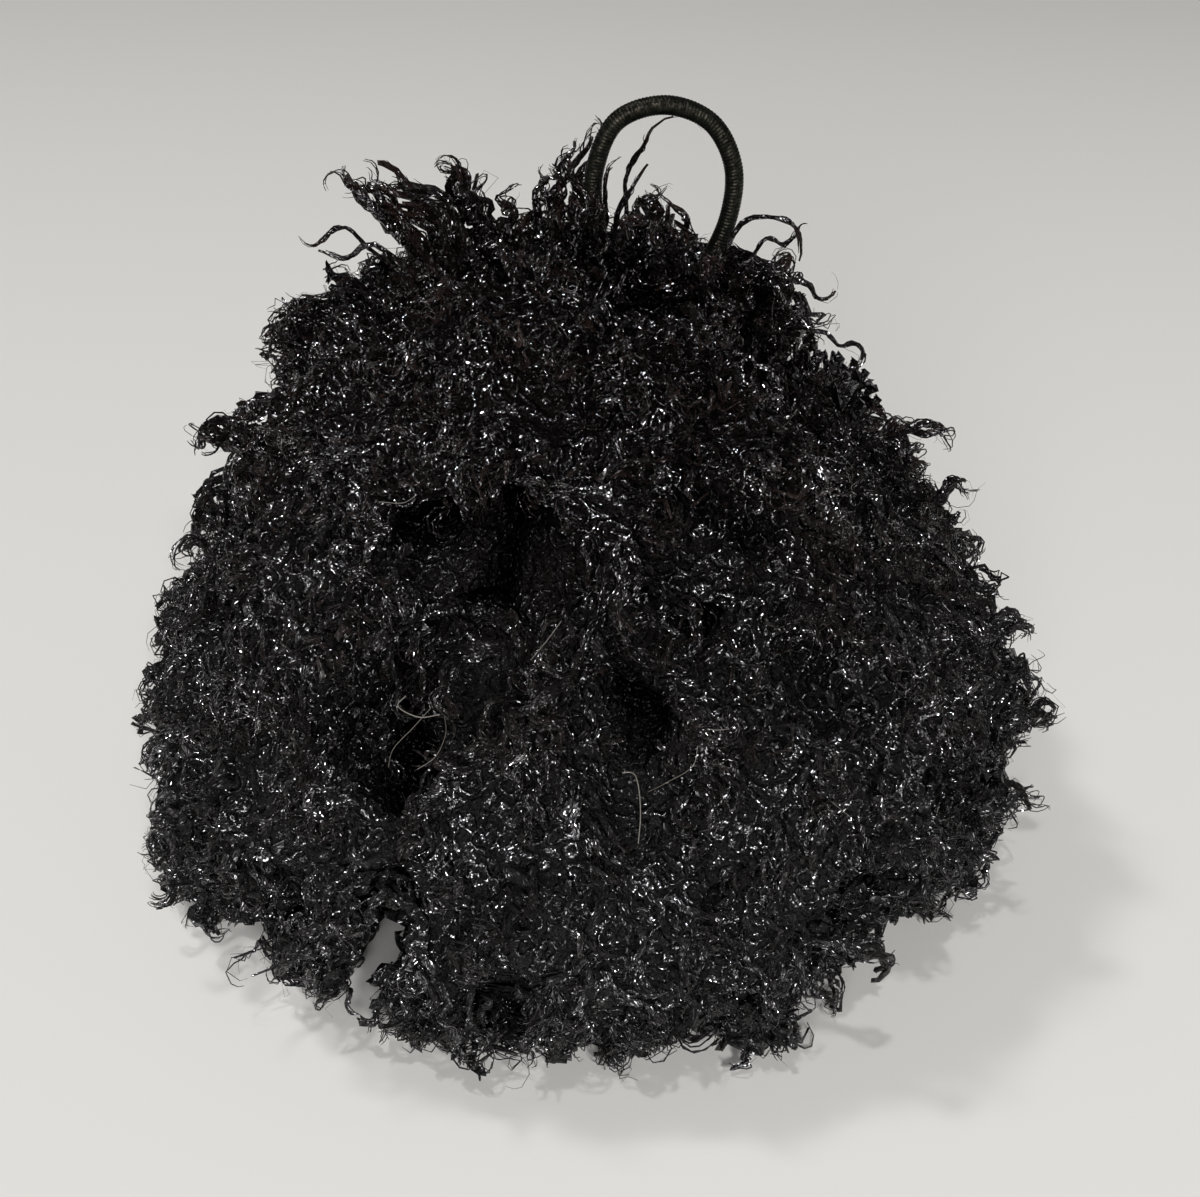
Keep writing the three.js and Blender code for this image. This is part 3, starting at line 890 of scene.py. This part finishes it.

# Where the pile parts or lies lower: how wide and how deep each place is, and the points of its line on
# the ball. Sizes are in millimetres. The first ones are bare of ringlets too, and shade is painted deep in
# them.
BARE_PARTINGS = (
    (10.5, 7, (-19, -38, 69.5), (-13, -39, 70), (-8, -40, 69.5)),
    (7.5, 6, (-9, -40, 67), (-9.5, -42, 61)),
    (5, 4, (9, -47, 62), (14, -46, 59)),
    (4.5, 4, (6.4, -47, 54), (7.4, -50, 50), (7.6, -52, 46)),
    (4, 4, (-17, -45, 57), (-12, -43, 59)),
    (5.5, 5, (-19, -48, 51), (-21, -50, 47), (-23, -51, 41)),
)
PARTINGS = (
    *BARE_PARTINGS,
    # Through the front rim.
    (8, 5, (-39, -54, 24), (-41, -53, 19), (-43, -52, 14)),
    (22, 9, (-49, -44, 10), (-49, -43, 2)),
    (14, 12, (38, -58, 24), (41, -52, 14), (42, -44, 2)),
    (24, 12, (50, -43, 9), (50, -42, 2)),
    (8, 5, (31, -61, 23), (34, -58, 17), (36, -54, 10), (36, -53, 2)),
    (8, 4, (-10, -66, 19), (-10, -64, 11), (-9, -60, 2)),
    (14, 3, (-20, -57, 3), (0, -61, 3), (20, -57, 3)),
    (10, 5, (22, -66, 13), (23, -63, 5)),
    # Round the sides and the crown.
    (16, 3.5, (53, -40, 31), (59, -35, 23), (63, -31, 17)),
    (30, 10, (30, -6, 85), (38, -3, 78), (46, 4, 70)),
    (30, 11, (33, 12, 81), (41, 14, 72), (46, 22, 62)),
    (24, 9, (38, 32, 66), (45, 32, 57)),
    (10, 4, (-60, -14, 46), (-52, -24, 49)),
    (6, 4, (-11, 6, 93), (-8, 0, 92)),
    (16, 6, (20, 2, 89), (25, 5, 86)),
)

# The cleft through the front rim: its corners in millimetres, and its sides.
CLEFT = (
    (-17.8, -72, 47.5), (-29.1, -72, 24.8), (-31.3, -72, -1),
    (-28.9, -72, -1), (-26.6, -18.8, -1), (-34.8, -46.7, -1),
)
CLEFT_SIDES = ((0, 1, 5, 4), (1, 2, 5), (0, 4, 3), (4, 5, 2, 3), (0, 3, 2, 1))


def in_cleft(places, margin):
    """Whether each place is in the cleft, and further than a margin from its sides."""
    corners = np.array(CLEFT) * MM
    inside = np.ones(places.shape[:-1], bool)
    for side in CLEFT_SIDES:
        first, second, third = corners[list(side[:3])]
        outward = unit(np.cross(second - first, third - first))
        outward = outward * np.sign((first - corners.mean(0)) @ outward)
        inside &= (places - first) @ outward < -margin
    return inside


def cut_cleft(form):
    """Cuts the cleft out of a form."""
    mesh = bpy.data.meshes.new("cleft")
    mesh.from_pydata([tuple(part * MM for part in corner) for corner in CLEFT], [], CLEFT_SIDES)
    cutter = new_object("cleft", mesh)
    edit_all(cutter, bpy.ops.mesh.normals_make_consistent, inside=False)
    modify(form, "BOOLEAN", operation="DIFFERENCE", object=cutter, solver="EXACT")
    bpy.data.objects.remove(cutter)


# Where shade is painted on the pile beside its bare partings, as darker colour and less shine: how wide
# each place is, how much shade it gets, and the points of its line on the ball. Sizes are in millimetres.
SHADES = (
    (9, 0.9, (1, -4, 91), (8, -8, 91), (14, -12, 89.5)),
    (6, 0.5, (-2, -21, 87), (3, -31, 82)),
    (11, 0.7, (-24, -48, 51), (-28, -48, 45), (-23, -50, 41)),
    (6, 0.8, (14.5, -38, 71), (19.5, -38, 69.5), (25, -37, 67)),
    (7, 0.6, (28, -43, 57), (33, -43.5, 50.5), (37.5, -45, 44)),
    (7, 0.5, (-47.5, -19, 59), (-29, -34.5, 66)),
    (9, 0.35, (14.5, -33, 79.5), (27, -31, 77), (40, -17.5, 64.5)),
)


def distance_to(places, points):
    """How far each place is from the line through some points."""
    line = line_through(points, 1 * MM)
    return np.linalg.norm(places[:, None] - line[None], axis=-1).min(1)


def openness(places):
    """How much of the light each place gets: none deep in the bare partings, and less in the shades."""
    shade = np.zeros(len(places))
    bare = ((1.3 * width, 1.0, *points) for width, _, *points in BARE_PARTINGS)
    for width, share, *points in (*bare, *SHADES):
        away = distance_to(places, points) / (width * MM / 2)
        shade = np.maximum(shade, share * (1 - rounded(0.4, 1.0, away)))
    return 1 - shade


def parting_depth(places, partings=PARTINGS):
    """How much lower the partings make the pile at each place."""
    deeper = np.zeros(len(places))
    for width, depth, *points in partings:
        away = distance_to(places, points) / (width * MM / 2)
        deeper = np.maximum(deeper, depth * MM * (1 - rounded(0.3, 1.0, away)))
    return deeper


# The few stray fibres that lie on the pile: how thick each is and its points, in millimetres.
STRAYS = (
    (0.14, (-20, -49, 52), (-21, -49.5, 51), (-18.5, -50.5, 50), (-16, -50, 50)),
    (0.063, (-15.5, -50, 50), (-15, -54, 50), (-16, -57, 49), (-18, -58, 48)),
    (0.063, (-17, -50, 51), (-19, -51, 49), (-21.5, -52, 46.5), (-22.5, -51, 43)),
    (0.126, (5.5, -56, 46), (6.7, -56, 46), (7.3, -56, 44.5), (7.6, -58.5, 42), (7.3, -61.5, 40)),
    (0.056, (14, -57.5, 51), (13.5, -58.5, 49), (10.5, -58.5, 46.5), (8.5, -57, 44)),
    (0.07, (15, -57, 53), (16, -57.5, 53.2), (17.5, -57, 53)),
    (0.056, (30, -57, 42.5), (31.5, -57, 41), (33, -56, 39)),
    (0.07, (-1.5, -50, 63), (-3, -51.5, 61.5), (-5, -52, 59)),
    (0.063, (-23, -38, 72), (-20, -38.5, 72.2), (-18.5, -38, 73)),
)


TWIG = 0.55  # how slim a single ringlet is next to one of a tuft's


def tuft_table(pile, rng):
    """The ringlets of the tufts, with their middle lines and axes."""
    rows, slim = [], []
    for ringlets_in_tuft, apart, *points in TUFTS:
        points = np.array(points, float) * MM
        fan = np.linspace(1, 0.7, len(points))[:, None]
        for _ in range(ringlets_in_tuft):
            aside = rng.normal(0, 0.4, 3) * apart * MM
            wander = rng.normal(0, 0.12, points.shape) * apart * MM
            curve, _ = even_steps(smooth_route(points + aside * fan + wander), 0.3 * MM)
            reached = rng.uniform(0.7, 1.0) if ringlets_in_tuft > 2 else 1.0
            rows.append(in_steps(curve, LOCK_STATIONS, reached))
            slim.append(TWIG if ringlets_in_tuft == 1 else 1.0)
    line, slim = np.array(rows), np.array(slim)
    count = len(line)
    side = np.broadcast_to(unit(rng.normal(0, 1, 3)), line.shape)
    locks = {
        "root": line[:, 0],
        "length": np.linalg.norm(np.diff(line, axis=1), axis=-1).sum(1),
        "width": pile.lock_width * slim * rng.uniform(0.8, 1.3, count),
        "curl": rng.uniform(0.4, 0.9, count) * slim * MM,
        "curl_turn": TURN * rng.uniform(1.3, 2.6, count) * rng.choice((-1, 1), count),
        "curl_start": rng.uniform(0, TURN, count),
        "turns": rng.uniform(0.5, 1.3, count),
        "begin": rng.uniform(0.1, 0.5, count),
        "curl_size": np.exp(rng.normal(0, 0.3, count)),
        "scatter": 0.9 * (slim - 0.4) * MM,
        "loop": 0.9 * (slim - 0.3),
        "shine": 0.12 + 0.5 * rng.random(count) ** 2,
    }
    paths = curled(locks, framed(line, side))
    paths["line"] = above(paths["line"], locks["width"][:, None] / 2)
    return locks, paths


def stray_mesh():
    """The stray fibres, joined."""
    lines = [in_steps(line_through(points, 0.2 * MM), LOCK_STATIONS) for _, *points in STRAYS]
    ways = framed(np.array(lines), np.array((0.3, -0.9, 0.4)))
    thick = np.array([row[0] * MM / 2 for row in STRAYS])[:, None] * np.ones(LOCK_STATIONS + 1)
    rings = round_rings(ways, thick, STRAY_SIDES)
    return tube_mesh("stray_fibres", [(rings, 1.0, np.ones(len(rings)))])


# The pieces that the pile is in: the crown's two halves, and six regions round the ball below them.
REGIONS = (
    "crown_left", "crown_right",
    "front_left", "front", "front_right", "back_right", "back", "back_left",
)
CROWN_START = 0.79  # how high the crown begins, as a share of the ball's height


def region_of(locks):
    """The number of the region of the ball that each ringlet grows in."""
    x, y, z = locks["root"].T
    sixth = ((np.degrees(np.arctan2(y, x)) + 180) // 60).astype(int) % 6
    return np.where(z > CROWN_START * BALL_HIGH[2], x > 0, 2 + sixth)


# How many steps a matted middle and its strands have, in the pile and in the tufts, and a stray hair.
PILE_STEPS, TUFT_STEPS, HAIR_STEPS = (7, 12), (16, 16), 8
TUFT_STRANDS = 1.4  # how many more strands a ringlet has in a tuft
MAP_PARTS = (0.2, 0.65, 0.15)  # the parts of the bake map for middles, strands and hairs


def grow(name, locks, paths, shown, strands, steps, pile, rng, material):
    """One piece of ringlets: their matted middles, the strands that curl with them and stray hairs."""
    several = np.repeat(shown, (strands + rng.random(len(shown))).astype(int))
    hairs = shown[rng.random(len(shown)) < pile.hairs]
    rings = (
        core_rings(locks, paths, steps[0], rng),
        strand_rings(locks, paths, several, CURLING, steps[1], pile, rng),
        strand_rings(locks, paths, hairs, ASTRAY, HAIR_STEPS, pile, rng),
    )
    shine = locks["shine"]
    families = zip(rings, MAP_PARTS, (shine, shine[several], shine[hairs]))
    finish_piece(new_object(name, tube_mesh(name, families)), None, material)


# -------------------- the elastic

# The elastic's centreline from one end to the other, across and up in millimetres from the gather.
LOOP_ROUTE = (
    (-2.0, 0.0), (-2.1, 3.5), (-3.4, 9.0), (-5.6, 15.0), (-7.1, 21.0), (-7.2, 27.6), (-4.3, 34.0),
    (1.9, 36.0), (7.8, 33.8), (10.9, 28.2), (10.6, 21.6), (7.9, 15.0), (4.4, 9.0), (2.1, 3.5), (2.0, 0.0),
)
COVER_SIDES = 20
STEPS_IN_THREAD = 5  # steps along the elastic for each turn of the thread
UNEVEN = 0.35  # the part of the thread's rise that comes and goes
UNEVEN_TURN = 900  # how fast it does, in radians to a metre of the elastic


def cover_mesh(elastic):
    """The elastic's cover: a round tube with the ridge of a thread wound round it."""
    flat = smooth_route(LOOP_ROUTE) * MM
    curve = np.stack([flat[:, 0], np.zeros(len(flat)), flat[:, 1]], 1)
    centre, marks = even_steps(curve, elastic.thread_pitch / STEPS_IN_THREAD)
    along = unit(np.gradient(centre, axis=0))
    depth = np.array((0.0, 1.0, 0.0))
    outward = unit(np.cross(depth, along))
    radius = (LOOP_HIGH[1] - LOOP_LOW[1]) / 2
    turn = TURN * np.arange(COVER_SIDES) / COVER_SIDES
    wound = TURN * marks[:, None] / elastic.thread_pitch + turn
    uneven = 1 + UNEVEN * np.sin(marks * UNEVEN_TURN)[:, None] * np.sin(2 * turn + 1)
    proud = radius - elastic.thread_rise * uneven * (1 - np.abs(np.sin(wound / 2)))
    ring = depth * np.cos(turn)[:, None] + outward[:, None, :] * np.sin(turn)[:, None]
    verts = (centre[:, None, :] + ring * proud[..., None]).reshape(-1, 3)
    verts += (LOOP_LOW + LOOP_HIGH) / 2 - (verts.min(0) + verts.max(0)) / 2
    first_ring = list(range(COVER_SIDES))
    last_ring = [len(verts) - COVER_SIDES + corner for corner in first_ring]
    faces = side_faces(0, 1, len(centre), COVER_SIDES).tolist()
    mesh = bpy.data.meshes.new("elastic_cover")
    mesh.from_pydata(verts.tolist(), [], [*faces, first_ring[::-1], last_ring])
    mesh.update()
    mesh.shade_smooth()
    return mesh


# -------------------- operators


class POM_OT_pile(bpy.types.Operator):
    """Builds the stuffed under-fur and grows its curls."""

    bl_idname = "pom.pile"
    bl_label = "Pile"

    def execute(self, context):
        pile = context.scene.pom_pile
        form = under_fur_form(pile)
        table = form_table(form)
        outer = BVHTree.FromObject(form, context.evaluated_depsgraph_get())
        draw_in(form, table, pile)
        matted = fibre_material("matted_fibre", pile, along=False, gloss=14.0, warm=0.05)
        finish_piece(form, "fur_ball", matted)
        rng = np.random.default_rng(pile.seed)
        locks, paths = ringlets(table, outer, pile, rng)
        curly = fibre_material("curled_fibre", pile, along=True, gloss=7.5, warm=0.14)
        for number, region in enumerate(REGIONS):
            inside = np.flatnonzero(region_of(locks) == number)
            mine, ways = picked(locks, inside), picked(paths, inside)
            shown = np.flatnonzero(mine["facing"][:, 2] > UNDERSIDE)
            grow("ringlets_" + region, mine, ways, shown, pile.strands, PILE_STEPS, pile, rng, curly)
        tufts, ways = tuft_table(pile, rng)
        every = np.arange(len(tufts["root"]))
        grow("tufts", tufts, ways, every, TUFT_STRANDS * pile.strands, TUFT_STEPS, pile, rng, curly)
        strays = new_object("stray_fibres", stray_mesh())
        finish_piece(strays, None, stray_material())
        return {"FINISHED"}


class POM_OT_elastic(bpy.types.Operator):
    """Builds the covered elastic's loop."""

    bl_idname = "pom.elastic"
    bl_label = "Elastic loop"

    def execute(self, context):
        elastic = context.scene.pom_elastic
        piece = new_object("elastic_cover", cover_mesh(elastic))
        finish_piece(piece, "elastic_loop", cover_material(elastic))
        return {"FINISHED"}


# The lamps: where each stands, its breadth in metres and its power in watts.
LAMPS = {
    "key_lamp": ((-1.0, 0.25, 2.0), 0.3, 11),
    "front_lamp": ((0.6, -1.9, 1.4), 0.25, 28),
    "spark_lamp": ((-0.25, -0.8, 2.2), 0.09, 10),
    "fill_lamp": ((-0.4, -2.2, 0.6), 0.9, 32),
}
LAMP_AIM = Vector((0, 0, 0.045))
AIR_LIGHT = 0.12  # the strength of the light from all round
FLOOR_SIZE = 8


def soft_lamp(name, place, breadth, watts):
    """A square area lamp that faces the pom pom."""
    bpy.ops.object.light_add(type="AREA", location=place)
    lamp = bpy.context.object
    lamp.name = name
    lamp.data.size = breadth
    lamp.data.energy = watts
    lamp.rotation_euler = (LAMP_AIM - Vector(place)).to_track_quat("-Z", "Y").to_euler()


class POM_OT_stage(bpy.types.Operator):
    """Sets the plain floor, the soft lamps and the camera."""

    bl_idname = "pom.stage"
    bl_label = "Studio"

    def execute(self, context):
        stage = context.scene.pom_stage
        bpy.ops.object.select_all(action="DESELECT")
        bpy.ops.mesh.primitive_plane_add(size=FLOOR_SIZE, location=(0, 0, 0))
        floor = context.object
        floor.name = "floor"
        nodes = Nodes("plain_floor")
        nodes.look({"Base Color": (*stage.floor, 1), "Roughness": 0.9})
        floor.data.materials.append(nodes.material)

        for name, lamp in LAMPS.items():
            soft_lamp(name, *lamp)
        world = bpy.data.worlds.new("studio_air")
        world.use_nodes = True
        air = world.node_tree.nodes["Background"]
        air.inputs["Color"].default_value = (1, 1, 1, 1)
        air.inputs["Strength"].default_value = AIR_LIGHT
        context.scene.world = world

        bpy.ops.object.camera_add(location=stage.camera_place)
        camera = context.object
        camera.rotation_euler = (math.pi / 2 - stage.camera_pitch, 0, 0)
        camera.data.lens = stage.lens
        camera.data.clip_start = 0.01
        context.scene.camera = camera
        context.scene.view_settings.view_transform = "Standard"
        return {"FINISHED"}


OPERATORS = (POM_OT_pile, POM_OT_elastic, POM_OT_stage)


class POM_PT_panel(bpy.types.Panel):
    """Lists the pieces of the pom pom."""

    bl_idname = "POM_PT_panel"
    bl_label = "Pom Pom"
    bl_space_type = "VIEW_3D"
    bl_region_type = "UI"
    bl_category = "Pom Pom"

    def draw(self, context):
        for operator in OPERATORS:
            self.layout.operator(operator.bl_idname)


GROUPS = {"pom_pile": PileSettings, "pom_elastic": ElasticSettings, "pom_stage": StageSettings}


def register():
    for kind in (*GROUPS.values(), *OPERATORS, POM_PT_panel):
        bpy.utils.register_class(kind)
    for name, kind in GROUPS.items():
        setattr(bpy.types.Scene, name, PointerProperty(type=kind))


def unregister():
    for name in GROUPS:
        delattr(bpy.types.Scene, name)
    for kind in (POM_PT_panel, *OPERATORS, *GROUPS.values()):
        bpy.utils.unregister_class(kind)


def main():
    register()
    for operator in OPERATORS:
        group, name = operator.bl_idname.split(".")
        getattr(getattr(bpy.ops, group), name)()


if __name__ == "__main__":
    main()
